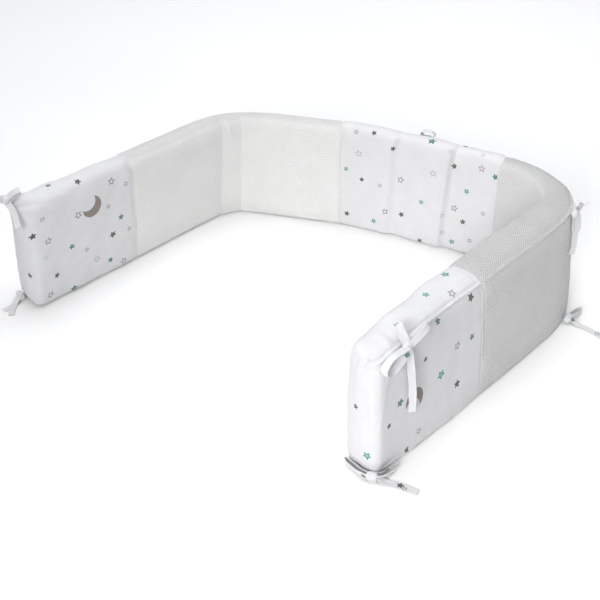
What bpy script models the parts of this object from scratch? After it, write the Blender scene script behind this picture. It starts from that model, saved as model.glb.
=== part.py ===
"""Crib bumper: a padded U of five sewn panels, with ten bows that tie it to the cot rails."""

import math
from collections import namedtuple

import bmesh
import bpy
from mathutils import Matrix, Vector
from mathutils.bvhtree import BVHTree

# Driving dimensions, in metres.
HEIGHT = 0.262            # pad height, floor to the crown of the top
GAP = 0.0003              # air between touching pieces
BACKING = 0.0025          # thickness of the cloth panel on the outer face
COARSE_STEP = 0.045       # spacing of the cross-sections on plain stretches
FINE_STEP = 0.016         # and beside folds and in the corners
FINE_REACH = 0.028        # how far from a fold the fine spacing holds
FINE_TURN = 0.13          # a coarse step that turns more than this, in radians, is split
SEAM_DIP = 0.0016         # how far the padding is drawn in at a panel seam
SEAM_REACH = 0.012        # and over what length it swells back
END_ROUND = 0.026         # rounding of the pad's two free ends
END_ANGLES = (90, 60, 35, 15, 0)    # cross-sections of that rounding, in degrees
END_TOP_DROP = 0.014      # how far the top sinks over it
END_FOOT_LIFT = 0.010     # and how far the underside rises

STRAP_WIDTH = 0.014       # ties: flat tape of folded cotton
STRAP_THICK = 0.0018
KNOT = (0.0100, 0.0068, 0.0085)     # half sizes of a bow's knot: along, out, up
KNOT_CLEAR = 0.0098       # least distance from a knot's centre to the pad
KNOT_HOLD = (0.002, 0.008)    # a strap is free of its knot over this distance from the centre
FLOOR_DROP = (0.006, 0.030)   # and sinks to the floor over this one, where its bow lies there
KNOT_GATHER = 0.55        # width of a strap inside its knot, as a share of its full width
ROOT_THICK = 0.0023       # a bow's root, where its tape is sewn into the seam
ROOT_GAP = 0.0005         # air between the root and the seam
KNOT_SEGMENTS = 8
KNOT_RINGS = 6
STRAND_APART = 0.0024     # half the distance between a loop's two strands in the knot
LOOP_POINTS = 12
TAIL_POINTS = 8
FLOOR_CLEAR = 0.0006      # air between a strap and the floor it lies on
PAD_CLEAR = 0.0014        # and between a strap and the pad
STRAP_STAGGER = 0.0011    # the straps of a bow lie this far over one another in its knot
LOOP_BELLY = 0.65         # how far a loop opens, for a spread of 1
LAY_ROUNDS = 12           # tries at laying a strap clear of the pad

COTTON = ("cotton", (0.930, 0.930, 0.940), 0.85)
AIRMESH = ("airmesh", (0.860, 0.860, 0.845), 0.75)

# The pad seen from above, from the left end round the U to the right end.
# x, y: centre line at mid height; thick: wall to wall; tall: height as a share of HEIGHT;
# lean: how far the top stands further into the U than the foot; panel: cloth that starts here.
Station = namedtuple("Station", "x y thick tall lean panel")
PLAN = (
    Station(-0.026, -0.018, 0.088, 0.950, 0.012, "print_left"),
    Station(-0.021, 0.030, 0.079, 0.980, 0.014, ""),
    Station(-0.015, 0.120, 0.070, 0.995, 0.016, ""),
    Station(-0.013, 0.247, 0.066, 1.000, 0.016, "mesh_left"),
    Station(-0.013, 0.370, 0.066, 1.000, 0.018, ""),
    Station(-0.012, 0.465, 0.065, 0.998, 0.018, ""),
    Station(-0.005, 0.520, 0.062, 0.995, 0.016, ""),
    Station(0.013, 0.559, 0.058, 0.995, 0.012, ""),
    Station(0.042, 0.588, 0.054, 0.997, 0.008, ""),
    Station(0.090, 0.616, 0.052, 1.000, 0.006, ""),
    Station(0.160, 0.656, 0.052, 1.000, 0.004, ""),
    Station(0.238, 0.698, 0.052, 1.000, 0.002, "print_back"),
    Station(0.300, 0.723, 0.052, 1.000, 0.000, ""),
    Station(0.347, 0.741, 0.052, 0.995, 0.000, ""),
    Station(0.400, 0.756, 0.053, 0.998, 0.000, ""),
    Station(0.447, 0.770, 0.054, 1.000, 0.000, ""),
    Station(0.490, 0.783, 0.052, 0.995, 0.002, ""),
    Station(0.540, 0.795, 0.052, 1.000, 0.004, ""),
    Station(0.607, 0.807, 0.052, 1.000, 0.008, "mesh_right"),
    Station(0.667, 0.810, 0.056, 1.000, 0.012, ""),
    Station(0.718, 0.797, 0.060, 1.000, 0.016, ""),
    Station(0.759, 0.772, 0.066, 1.000, 0.020, ""),
    Station(0.786, 0.738, 0.073, 1.000, 0.024, ""),
    Station(0.799, 0.696, 0.083, 1.000, 0.026, ""),
    Station(0.803, 0.645, 0.090, 1.000, 0.028, ""),
    Station(0.803, 0.560, 0.094, 1.000, 0.028, ""),
    Station(0.806, 0.388, 0.087, 1.000, 0.028, "print_right"),
    Station(0.809, 0.240, 0.080, 1.000, 0.028, ""),
    Station(0.811, 0.130, 0.076, 0.990, 0.026, ""),
    Station(0.811, 0.082, 0.074, 0.975, 0.024, ""),
)

# Cross-section of the pad. across: share of half the thickness, +1 at the inner wall and
# -1 at the outer wall; up: share of the height. WRAP is the cover over the underside, the
# inner wall and the top; OUTER is the outer face between its two seams.
Profile = namedtuple("Profile", "across up")
WRAP = (
    Profile(-0.95, 0.034),
    Profile(-0.78, 0.000),
    Profile(0.62, 0.000),
    Profile(0.86, 0.020),
    Profile(0.97, 0.062),
    Profile(1.01, 0.160),
    Profile(1.04, 0.340),
    Profile(1.05, 0.520),
    Profile(1.04, 0.700),
    Profile(1.01, 0.830),
    Profile(0.93, 0.915),
    Profile(0.76, 0.965),
    Profile(0.48, 0.992),
    Profile(0.10, 1.000),
    Profile(-0.35, 0.993),
    Profile(-0.68, 0.976),
    Profile(-0.88, 0.950),
)
OUTER = (
    Profile(-0.88, 0.950),
    Profile(-0.99, 0.890),
    Profile(-1.02, 0.720),
    Profile(-1.04, 0.500),
    Profile(-1.04, 0.280),
    Profile(-1.02, 0.120),
    Profile(-0.95, 0.034),
)

# Folds across the inner wall and the top. run: distance along the pad; slant: how much
# further along the fold's top lies than its foot; before, after: how far the cloth is pulled
# in just before and just after the fold line; width: over what length it comes back.
Fold = namedtuple("Fold", "run slant before after width")
FOLDS = (
    Fold(0.560, 0.000, 0.004, 0.004, 0.018),
    Fold(0.610, 0.000, 0.004, 0.004, 0.018),
    Fold(0.980, 0.010, 0.003, 0.005, 0.024),
    Fold(1.112, 0.013, -0.006, 0.010, 0.032),
    Fold(1.270, 0.000, 0.005, 0.004, 0.020),
)
FOLD_EDGE = 0.0015        # half the length over which a fold turns from before to after
FOLD_LEAD = 0.090         # how far from a slanting fold the cross-sections lean with it
FOLD_ACROSS = (-0.60, 0.60)     # a fold deepens over this stretch, from the outer side inwards
WALL_ACROSS = (0.00, 0.70)      # and pulls the inner wall in over this one
TOP_UP = (0.80, 0.95)     # heights over which a seam or fold goes over from wall to top
TOP_PULL = 0.60           # how far a fold pulls the top down, for 1 on the wall

# Bows. run: distance along the pad; up: height of the knot on the outer face, as a share of
# the pad's; turn: degrees that its face is swung round from the outer face, towards the
# pad's end; slide: how far the knot lies to the side; lies: on the wall or on the floor.
Bow = namedtuple("Bow", "name run up turn slide lies")
BOWS = (
    Bow("bow_left_end_top", 0.004, 0.950, 105, -0.006, "wall"),
    Bow("bow_left_end_foot", 0.004, 0.034, 90, -0.018, "floor"),
    Bow("bow_left_corner_top", 0.600, 0.880, 0, 0.0, "wall"),
    Bow("bow_left_corner_foot", 0.600, 0.034, 0, 0.0, "floor"),
    Bow("bow_back_top", 1.036, 0.915, 0, 0.0, "wall"),
    Bow("bow_back_foot", 1.036, 0.034, 0, 0.0, "floor"),
    Bow("bow_right_corner_top", 1.462, 0.950, 0, 0.0, "wall"),
    Bow("bow_right_corner_foot", 1.480, 0.034, 0, 0.0, "floor"),
    Bow("bow_right_end_top", 2.024, 0.950, 0, 0.0, "wall"),
    Bow("bow_right_end_foot", 2.086, 0.034, -60, 0.014, "floor"),
)

# The straps of each bow. heading: degrees in the plane that the bow lies in, 0 along the pad
# and 90 up the wall or out over the floor; tilt: degrees out of that plane; length: knot to
# far end; spread: opening of a loop, or sideways sweep of a tail; edgewise: the tape stands
# on its edge; twist: degrees that a tail turns about itself.
Strap = namedtuple("Strap", "bow kind heading tilt length spread edgewise twist")
STRAPS = (
    Strap("bow_left_end_top", "loop", 105, -42, 0.050, 0.012, False, 0),
    Strap("bow_left_end_top", "loop", 345, 15, 0.024, 0.010, False, 0),
    Strap("bow_left_end_top", "tail", 222, 0, 0.070, 0.006, False, 0),
    Strap("bow_left_end_foot", "tail", 107, 0, 0.056, 0.004, False, 0),
    Strap("bow_left_end_foot", "tail", 133, 0, 0.070, -0.006, False, 0),
    Strap("bow_left_corner_top", "loop", 212, 8, 0.038, 0.014, True, 0),
    Strap("bow_left_corner_top", "loop", 332, 8, 0.036, 0.014, True, 0),
    Strap("bow_left_corner_top", "tail", 255, 5, 0.100, 0.008, False, 0),
    Strap("bow_left_corner_top", "tail", 290, 5, 0.085, -0.006, False, 0),
    Strap("bow_left_corner_foot", "loop", 160, 0, 0.038, 0.014, True, 0),
    Strap("bow_left_corner_foot", "tail", 73, 0, 0.095, 0.010, False, 0),
    Strap("bow_left_corner_foot", "tail", 31, 0, 0.080, -0.008, False, 0),
    Strap("bow_back_top", "loop", 90, 0, 0.021, 0.044, True, 0),
    Strap("bow_back_top", "loop", 200, 10, 0.036, 0.014, True, 0),
    Strap("bow_back_top", "tail", 280, 5, 0.095, 0.008, False, 0),
    Strap("bow_back_top", "tail", 245, 5, 0.080, -0.008, False, 0),
    Strap("bow_back_foot", "loop", 25, 0, 0.036, 0.014, True, 0),
    Strap("bow_back_foot", "tail", 110, 0, 0.090, 0.010, False, 0),
    Strap("bow_back_foot", "tail", 150, 0, 0.080, -0.008, False, 0),
    Strap("bow_right_corner_top", "loop", 80, 25, 0.036, 0.018, True, 0),
    Strap("bow_right_corner_top", "tail", 110, 40, 0.034, 0.004, False, 0),
    Strap("bow_right_corner_top", "tail", 305, 2, 0.086, 0.008, False, 80),
    Strap("bow_right_corner_foot", "loop", 166, 4, 0.048, 0.012, True, 0),
    Strap("bow_right_corner_foot", "tail", 74, 0, 0.112, 0.010, False, 0),
    Strap("bow_right_end_top", "loop", 95, -35, 0.046, 0.010, False, 0),
    Strap("bow_right_end_top", "loop", 165, 10, 0.054, 0.012, False, 0),
    Strap("bow_right_end_top", "loop", 342, 12, 0.064, 0.030, True, 0),
    Strap("bow_right_end_top", "tail", 259, 5, 0.168, 0.014, False, 0),
    Strap("bow_right_end_foot", "loop", 322, 8, 0.069, 0.014, True, 0),
    Strap("bow_right_end_foot", "loop", 212, 6, 0.056, 0.014, True, 0),
    Strap("bow_right_end_foot", "tail", 172, 0, 0.084, 0.008, False, 0),
)


def run_of_each_row():
    """Distance along the plan from its first row to each row."""
    runs = [0.0]
    for a, b in zip(PLAN, PLAN[1:]):
        runs.append(runs[-1] + math.hypot(b.x - a.x, b.y - a.y))
    return runs


RUNS = run_of_each_row()
LENGTH = RUNS[-1]


def slope(row, column):
    """Slope of one plan column at a row, from the rows on both sides."""
    a, b = max(row - 1, 0), min(row + 1, len(PLAN) - 1)
    return (getattr(PLAN[b], column) - getattr(PLAN[a], column)) / (RUNS[b] - RUNS[a])


def plan_value(run, column):
    """One plan column at any distance along the pad, on a smooth curve through the rows."""
    if run <= 0.0 or run >= LENGTH:
        row = 0 if run <= 0.0 else len(PLAN) - 1
        return getattr(PLAN[row], column) + slope(row, column) * (run - RUNS[row])
    row = max(j for j in range(len(PLAN) - 1) if RUNS[j] <= run)
    span = RUNS[row + 1] - RUNS[row]
    t = (run - RUNS[row]) / span
    a, b = getattr(PLAN[row], column), getattr(PLAN[row + 1], column)
    rise_a, rise_b = slope(row, column) * span, slope(row + 1, column) * span
    return (
        a * (1 + 2 * t) * (1 - t) ** 2
        + rise_a * t * (1 - t) ** 2
        + b * t * t * (3 - 2 * t)
        + rise_b * t * t * (t - 1)
    )


def along(run):
    """Level direction along the pad, away from its left end."""
    reach = 0.004
    ahead = Vector((plan_value(run + reach, "x"), plan_value(run + reach, "y"), 0.0))
    behind = Vector((plan_value(run - reach, "x"), plan_value(run - reach, "y"), 0.0))
    return (ahead - behind).normalized()


def inward(run):
    """Level direction square to the pad that points into the U."""
    heading = along(run)
    return Vector((heading.y, -heading.x, 0.0))


def smooth(value):
    """A share that eases from 0 to 1."""
    value = min(max(value, 0.0), 1.0)
    return value * value * (3 - 2 * value)


def ramp(value, stretch):
    """Ease from 0 to 1 over a stretch of values."""
    return smooth((value - stretch[0]) / (stretch[1] - stretch[0]))


def follow_folds(run, up):
    """Run of a cross-section's point, which leans along with a slanting fold nearby."""
    for fold in FOLDS:
        near = smooth(1 - abs(run - fold.run) / FOLD_LEAD)
        run += fold.slant * (up - 0.5) * near
    return run


def fold_pull(run):
    """How far the folds pull the cloth in at one cross-section."""
    pull = 0.0
    for fold in FOLDS:
        away = run - fold.run
        depth = fold.before + (fold.after - fold.before) * smooth(0.5 + away / FOLD_EDGE / 2)
        pull += depth * math.exp(-((away / fold.width) ** 2))
    return pull


def seam_dip(run):
    """How far the padding is drawn in by the nearest seam across the pad."""
    dip = 0.0
    for row, station in enumerate(PLAN):
        if station.panel and row > 0:
            dip += SEAM_DIP * smooth(1 - abs(run - RUNS[row]) / SEAM_REACH)
    return dip


def end_share(run):
    """How far a cross-section is into the rounding of a free end, 1 at the very end."""
    left = 1 - min(run, LENGTH - run) / END_ROUND
    return 1 - math.sqrt(1 - min(max(left, 0.0), 1.0) ** 2)


def pad_point(run, profile, sunk=0.0):
    """A point on the pad's skin; sunk moves it in from the outer face."""
    half = plan_value(run, "thick") / 2
    tall = plan_value(run, "tall") * HEIGHT
    pulled = fold_pull(run) * ramp(profile.across, FOLD_ACROSS)
    dip = seam_dip(run)
    across = profile.across * half
    across -= math.copysign(dip, across) + pulled * ramp(profile.across, WALL_ACROSS)
    rise = profile.up * tall - (dip + TOP_PULL * max(pulled, 0.0)) * ramp(profile.up, TOP_UP)
    ended = end_share(run)
    across = -half + (across + half) * (1 - ended * END_ROUND / (2 * half))
    rise += ended * (END_FOOT_LIFT * (1 - profile.up) - END_TOP_DROP * profile.up)
    across += plan_value(run, "lean") * (profile.up - 0.5) + sunk
    at = follow_folds(run, profile.up)
    middle = Vector((plan_value(at, "x"), plan_value(at, "y"), rise))
    return middle + across * inward(at)


def cross_section_runs(start, end):
    """Where a panel's cross-sections lie: closer at its ends, beside folds and in corners."""
    rounding = [END_ROUND * (1 - math.sin(math.radians(angle))) for angle in END_ANGLES]
    runs = rounding if start == 0.0 else [start, start + SEAM_REACH / 2, start + SEAM_REACH]
    tail = [end - SEAM_REACH, end - SEAM_REACH / 2, end]
    if end == LENGTH:
        tail = [end - away for away in reversed(rounding)]
    marks = [fold.run for fold in FOLDS if start < fold.run < end]
    while runs[-1] < tail[0] - FINE_STEP:
        last = runs[-1]
        turns = along(last).angle(along(last + COARSE_STEP)) > FINE_TURN
        close = any(-FINE_REACH - COARSE_STEP < last - mark < FINE_REACH for mark in marks)
        step = FINE_STEP if turns or close else COARSE_STEP
        ahead = [mark for mark in marks if last < mark - FOLD_EDGE <= last + step]
        if ahead:
            runs += [ahead[0] - FOLD_EDGE, ahead[0] + FOLD_EDGE]
        else:
            runs.append(min(last + step, tail[0]))
    if tail[0] - runs[-1] < FINE_STEP / 4:
        runs.pop()
    return runs + tail


def loft(rings):
    """A closed mesh through rings of points, with a flat cap at each end."""
    bm = bmesh.new()
    rows = [[bm.verts.new(point) for point in ring] for ring in rings]
    count = len(rings[0])
    for a, b in zip(rows, rows[1:]):
        for i in range(count):
            j = (i + 1) % count
            bm.faces.new((a[i], a[j], b[j], b[i]))
    bm.faces.new(list(reversed(rows[0])))
    bm.faces.new(rows[-1])
    face_outwards(bm)
    return bm


def face_outwards(bm):
    """Turn the faces of a closed mesh outwards."""
    bm.normal_update()
    bmesh.ops.recalc_face_normals(bm, faces=bm.faces)
    if bm.calc_volume(signed=True) < 0.0:
        bmesh.ops.reverse_faces(bm, faces=bm.faces)


def material(finish):
    """The material of one cloth, made once."""
    name, color, roughness = finish
    if name in bpy.data.materials:
        return bpy.data.materials[name]
    made = bpy.data.materials.new(name)
    made.use_nodes = True
    shader = made.node_tree.nodes["Principled BSDF"]
    shader.inputs["Base Color"].default_value = (*color, 1.0)
    shader.inputs["Roughness"].default_value = roughness
    shader.inputs["Metallic"].default_value = 0.0
    return made


def add_object(name, bm, finish, sharp_angle=math.radians(50)):
    """Turn a bmesh into a named, shaded object."""
    mesh = bpy.data.meshes.new(name)
    bm.to_mesh(mesh)
    bm.free()
    mesh.materials.append(material(finish))
    mesh.shade_smooth()
    mesh.set_sharp_from_angle(angle=sharp_angle)
    made = bpy.data.objects.new(name, mesh)
    bpy.context.scene.collection.objects.link(made)
    return made


def wrap_ring(run):
    """Outline of the filled pad at one run, with the outer face sunk to seat its panel."""
    ring = [pad_point(run, profile) for profile in WRAP]
    return ring + [pad_point(run, profile, BACKING + GAP) for profile in OUTER]


def backing_ring(run):
    """Outline of the outer face's cloth panel at one run."""
    apart = GAP / HEIGHT
    top = OUTER[0]._replace(up=OUTER[0].up - apart)
    foot = OUTER[-1]._replace(up=OUTER[-1].up + apart)
    rows = (top, *OUTER[1:-1], foot)
    outside = [pad_point(run, profile) for profile in rows]
    inside = [pad_point(run, profile, BACKING) for profile in reversed(rows)]
    return outside + inside


def build_pad():
    """The five filled sections and the five cloth panels of the outer face."""
    made = []
    starts = [row for row, station in enumerate(PLAN) if station.panel]
    for row, after in zip(starts, starts[1:] + [len(PLAN) - 1]):
        panel = PLAN[row].panel
        start = RUNS[row] + (GAP / 2 if row > 0 else 0.0)
        end = RUNS[after] - (GAP / 2 if after < len(PLAN) - 1 else 0.0)
        finish = COTTON if panel.startswith("print") else AIRMESH
        runs = cross_section_runs(start, end)
        made.append(add_object(panel, loft([wrap_ring(run) for run in runs]), finish))
        backing = loft([backing_ring(run) for run in runs])
        made.append(add_object(panel + "_outer", backing, finish))
    return made


def outer_profile(up):
    """The outer face's profile at one share of the height."""
    for above, below in zip(OUTER, OUTER[1:]):
        if up >= below.up:
            break
    share = min(max((above.up - up) / (above.up - below.up), 0.0), 1.0)
    return Profile(above.across + (below.across - above.across) * share, up)


def bow_frame(bow, tree):
    """A bow's knot, the three directions that its straps are set out by, and its way out."""
    swing = Matrix.Rotation(math.radians(bow.turn), 3, "Z")
    out = swing @ -inward(bow.run)
    side = swing @ along(bow.run)
    up = Vector((0.0, 0.0, 1.0))
    seat = pad_point(bow.run, outer_profile(bow.up))
    origin = seat + out * KNOT_CLEAR + side * bow.slide
    origin += out * max(KNOT_CLEAR - clearance(tree, origin), 0.0)
    if bow.lies == "floor":
        origin.z = KNOT[2] + FLOOR_CLEAR
        return origin, side, out, up, out
    return origin, side, up, out, out


def loop_path(strap, heading, across, facing):
    """Centre line of a loop: out from the knot, round and back, its strands a little apart."""
    points = []
    for i in range(LOOP_POINTS):
        turn = math.pi * i / (LOOP_POINTS - 1)
        opening = math.cos(turn) * (STRAND_APART + LOOP_BELLY * strap.spread * math.sin(turn))
        side = across if strap.edgewise else facing
        points.append(heading * strap.length * math.sin(turn) + side * opening)
    return points


def tail_path(strap, heading, across):
    """Centre line of a tail, which sweeps a little to one side."""
    points = []
    for i in range(TAIL_POINTS):
        share = i / (TAIL_POINTS - 1)
        sweep = strap.spread * math.sin(math.pi * share)
        points.append(heading * strap.length * share + across * sweep)
    return points


def clearance(tree, point):
    """Distance from the pad's skin, negative inside it."""
    nearest, normal, _, distance = tree.find_nearest(point)
    return math.copysign(distance, (point - nearest).dot(normal))


def tape_edges(path, start, wide, twist):
    """From each point of a path to the tape's edge, square to the path and turned with it."""
    edges = []
    last = len(path) - 1
    for i, point in enumerate(path):
        tangent = (path[min(i + 1, last)] - path[max(i - 1, 0)]).normalized()
        spin = Matrix.Rotation(math.radians(twist) * i / last, 3, tangent)
        square = spin @ (wide - tangent * wide.dot(tangent)).normalized()
        gathered = KNOT_GATHER + (1 - KNOT_GATHER) * ramp((point - start).length, KNOT_HOLD)
        edges.append(square * gathered * STRAP_WIDTH / 2)
    return edges


def shift_off_pad(tree, point, edge, out):
    """How far the tape at one point of its path has to move outwards to clear the pad."""
    clear = STRAP_THICK / 2 + PAD_CLEAR
    shift = 0.0
    for _ in range(LAY_ROUNDS):
        across = [point + out * shift + edge * share for share in (-1, 0, 1)]
        short = clear - min(clearance(tree, place) for place in across)
        if short <= 0.0:
            break
        shift += short
    return shift


def lay_path(tree, strap, start, path, edges, facing, out):
    """Lay a strap's centre line against the pad or the floor, without a kink."""
    shifts = [shift_off_pad(tree, point, edge, out) for point, edge in zip(path, edges)]
    if strap.kind == "loop":
        shifts = [max(pair) for pair in zip(shifts, reversed(shifts))]
    padded = [shifts[0], *shifts, shifts[-1]]
    laid = []
    for point, edge, *near in zip(path, edges, padded, padded[1:], padded[2:]):
        away = (point - start).length
        moved = point + out * max(near) * ramp(away, KNOT_HOLD)
        low = STRAP_THICK / 2 + FLOOR_CLEAR + abs(edge.z)
        sunk = moved.z + (low - moved.z) * facing.z * ramp(away, FLOOR_DROP)
        laid.append(Vector((moved.x, moved.y, max(sunk, low))))
    return laid


def strap_mesh(strap, frame, tree, order):
    """The closed mesh of one strap."""
    origin, side, rise, facing, out = frame
    angle, tilt = math.radians(strap.heading), math.radians(strap.tilt)
    level = side * math.cos(angle) + rise * math.sin(angle)
    heading = level * math.cos(tilt) + facing * math.sin(tilt)
    across = facing.cross(level).normalized()
    square = heading.cross(across).normalized()
    wide = square if strap.edgewise else across
    if strap.kind == "loop":
        path = loop_path(strap, heading, across, square)
    else:
        path = tail_path(strap, heading, across)
    start = origin + facing * (order - 1) * STRAP_STAGGER
    path = [start + point for point in path]
    edges = tape_edges(path, start, wide, strap.twist)
    path = lay_path(tree, strap, start, path, edges, facing, out)
    rings = []
    last = len(path) - 1
    for i, edge in enumerate(tape_edges(path, start, wide, strap.twist)):
        tangent = path[min(i + 1, last)] - path[max(i - 1, 0)]
        skin = tangent.cross(edge).normalized() * STRAP_THICK / 2
        upper, lower = path[i] + skin, path[i] - skin
        rings.append([upper + edge, upper - edge, lower - edge, lower + edge])
    return loft(rings)


def knot_mesh(frame, lies):
    """The lump of the knot."""
    origin, side, rise, facing, _ = frame
    bm = bmesh.new()
    bmesh.ops.create_uvsphere(bm, u_segments=KNOT_SEGMENTS, v_segments=KNOT_RINGS, radius=1.0)
    axes = Matrix((side, rise, facing)).transposed()
    half = (KNOT[0], KNOT[2], KNOT[1]) if lies == "wall" else (KNOT[0], KNOT[1], KNOT[2])
    for vert in bm.verts:
        vert.co = origin + axes @ Vector([c * size for c, size in zip(vert.co, half)])
    face_outwards(bm)
    return bm


def root_mesh(frame, tree):
    """The short end of tape between a bow's knot and the seam that it is sewn into."""
    origin = frame[0]
    nearest = tree.find_nearest(origin)[0]
    reach = nearest - origin
    edge = reach.cross(Vector((0.0, 0.0, 1.0))).normalized() * STRAP_WIDTH * KNOT_GATHER / 2
    skin = reach.cross(edge).normalized() * ROOT_THICK / 2
    rings = []
    for centre in (origin, nearest - reach.normalized() * ROOT_GAP):
        upper, lower = centre + skin, centre - skin
        rings.append([upper + edge, upper - edge, lower - edge, lower + edge])
    return loft(rings)


def join(target, pieces):
    """Union pieces into an object and keep only the result."""
    for piece in pieces:
        union = target.modifiers.new(piece.name, "BOOLEAN")
        union.operation = "UNION"
        union.solver = "EXACT"
        union.object = piece
    bpy.context.view_layer.update()
    evaluated = target.evaluated_get(bpy.context.evaluated_depsgraph_get())
    joined = bpy.data.meshes.new_from_object(evaluated)
    target.modifiers.clear()
    target.data = joined
    for piece in pieces:
        bpy.data.objects.remove(piece, do_unlink=True)


def skin_tree():
    """A search tree of the whole pad's skin, for the straps to lie against."""
    runs = []
    for start, end in zip(RUNS, RUNS[1:]):
        runs += cross_section_runs(start, end)[:-1]
    rings = [[pad_point(run, row) for row in WRAP + OUTER[1:-1]] for run in runs + [LENGTH]]
    bm = loft(rings)
    tree = BVHTree.FromBMesh(bm)
    bm.free()
    return tree


def build_bows():
    """One solid for each bow: its knot, loops, tails and root."""
    tree = skin_tree()
    made = []
    for bow in BOWS:
        frame = bow_frame(bow, tree)
        knot = add_object(bow.name, knot_mesh(frame, bow.lies), COTTON)
        straps = [strap for strap in STRAPS if strap.bow == bow.name]
        pieces = [
            add_object(f"{bow.name}_strap_{order}", strap_mesh(strap, frame, tree, order), COTTON)
            for order, strap in enumerate(straps)
        ]
        pieces.append(add_object(f"{bow.name}_root", root_mesh(frame, tree), COTTON))
        join(knot, pieces)
        made.append(knot)
    return made


def centre_on_origin(objects):
    """Stand the whole object on the origin, centred under its box."""
    corners = [vert.co for item in objects for vert in item.data.vertices]
    middle_x = (min(c.x for c in corners) + max(c.x for c in corners)) / 2
    middle_y = (min(c.y for c in corners) + max(c.y for c in corners)) / 2
    for item in objects:
        item.location = (-middle_x, -middle_y, 0.0)
    return middle_x, middle_y


def main():
    for old in list(bpy.data.objects):
        bpy.data.objects.remove(old, do_unlink=True)
    pad = build_pad()
    bows = build_bows()
    middle = centre_on_origin(pad + bows)
    print("centre of the box in the plan: %.5f, %.5f" % middle)


main()
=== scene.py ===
import math

import bmesh
import bpy
import numpy as np
from mathutils import Matrix, Vector
from mathutils.bvhtree import BVHTree


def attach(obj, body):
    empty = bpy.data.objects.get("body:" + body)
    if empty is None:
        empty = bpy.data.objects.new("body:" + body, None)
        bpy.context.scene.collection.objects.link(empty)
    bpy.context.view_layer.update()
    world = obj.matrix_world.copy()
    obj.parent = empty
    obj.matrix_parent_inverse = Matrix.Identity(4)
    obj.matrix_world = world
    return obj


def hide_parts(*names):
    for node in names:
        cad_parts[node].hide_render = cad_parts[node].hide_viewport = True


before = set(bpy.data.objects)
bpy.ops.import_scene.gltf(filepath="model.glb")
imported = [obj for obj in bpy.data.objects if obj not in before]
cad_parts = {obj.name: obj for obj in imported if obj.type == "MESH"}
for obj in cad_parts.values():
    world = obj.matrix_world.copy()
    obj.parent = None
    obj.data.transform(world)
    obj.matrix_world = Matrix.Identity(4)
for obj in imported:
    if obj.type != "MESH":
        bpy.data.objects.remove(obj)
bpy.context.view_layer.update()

print("frame loaded,", len(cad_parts), "solids")

# camera at the photo's place
camera = {
    "place": (1.1692, -1.3277, 1.2898),
    "turn": (54.41, 0.0, 42.86),    # degrees
    "lens": 61.2,
    "sensor": 36.0,
    "farthest": 40.0,
}


def addObject(name, data):
    made = bpy.data.objects.new(name, data)
    bpy.context.scene.collection.objects.link(made)
    return made


def placeCamera():
    view = bpy.data.cameras.new("photoView")
    view.lens, view.sensor_width, view.sensor_fit = camera["lens"], camera["sensor"], "HORIZONTAL"
    view.clip_end = camera["farthest"]
    holder = addObject("photoView", view)
    holder.location = camera["place"]
    holder.rotation_euler = [math.radians(angle) for angle in camera["turn"]]
    bpy.context.scene.camera = holder


placeCamera()


# the pad's plan, in mm: x, y of its centre line, thickness, height in thousandths, lean
planCentre = (0.44898, 0.39103)    # the frame's origin in the plan, in metres
stations = [
    (-26, -18, 88, 950, 12), (-21, 30, 79, 980, 14), (-15, 120, 70, 995, 16),
    (-13, 247, 66, 1000, 16), (-13, 370, 66, 1000, 18), (-12, 465, 65, 998, 18),
    (-5, 520, 62, 995, 16), (13, 559, 58, 995, 12), (42, 588, 54, 997, 8),
    (90, 616, 52, 1000, 6), (160, 656, 52, 1000, 4), (238, 698, 52, 1000, 2),
    (300, 723, 52, 1000, 0), (347, 741, 52, 995, 0), (400, 756, 53, 998, 0),
    (447, 770, 54, 1000, 0), (490, 783, 52, 995, 2), (540, 795, 52, 1000, 4),
    (607, 807, 52, 1000, 8), (667, 810, 56, 1000, 12), (718, 797, 60, 1000, 16),
    (759, 772, 66, 1000, 20), (786, 738, 73, 1000, 24), (799, 696, 83, 1000, 26),
    (803, 645, 90, 1000, 28), (803, 560, 94, 1000, 28), (806, 388, 87, 1000, 28),
    (809, 240, 80, 1000, 26), (811, 130, 76, 990, 17), (811, 82, 74, 975, 9),
]
sectionRows = {    # the station where each cloth starts
    "print_left": 0,
    "mesh_left": 3,
    "print_back": 11,
    "mesh_right": 18,
    "print_right": 26,
}
planTable = np.array(stations) / 1000
planTable[:, :2] -= planCentre
stationRuns = np.concatenate([[0.0], np.cumsum(np.hypot(*np.diff(planTable[:, :2], axis=0).T))])
padLength = stationRuns[-1]
seamRows = list(sectionRows.values())

pad = {
    "height": 0.262,
    "halfThick": 0.034,      # a middling half thickness, to space the cross-section by
    "gap": 0.0003,
    "runStep": 0.0042,       # spacing of the cross-sections
    "seamStep": 0.0016,      # spacing beside a seam or a fold line
    "ringStep": 0.0042,      # spacing round a cross-section
    "fineReach": 0.010,      # how far from a seam or fold the fine spacing holds
    "headingReach": 0.004,
    "topEdge": 0.94,         # height share of the top's inner edge
    "seamDip": 0.0016,
    "seamReach": 0.012,
    "endRound": 0.026,
    "endSteps": 11,
    "endTopDrop": (0.014, 0.007),    # at the left end and at the right
    "endFootLift": 0.010,
    "innerRound": (0.012, 0.020),    # the inner corner of a free end: at the foot, and more at the top
    "outerRound": (0.0104, 0.0088),    # the outer corner, likewise
    "foldLead": 0.090,
    "topPull": 0.60,
    "pullSide": (-0.6, 0.6),     # shares of the thickness or height over which a pull sets in
    "pullWall": (0.0, 0.7),
    "pullTop": (0.80, 0.95),
    "roundWall": (0.0, 0.9),
}
endCloth = {
    "shrink": (0.975, 0.94, 0.89, 0.82, 0.73, 0.62, 0.50, 0.38, 0.26, 0.15, 0.06),
    "crown": 0.0045,        # how far it swells
    "inset": 0.022,         # the middle line's ends stay this far from the rim
    "lumps": 0.0006,
    "lumpLength": 0.06,
    "seed": 77,
}
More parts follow.
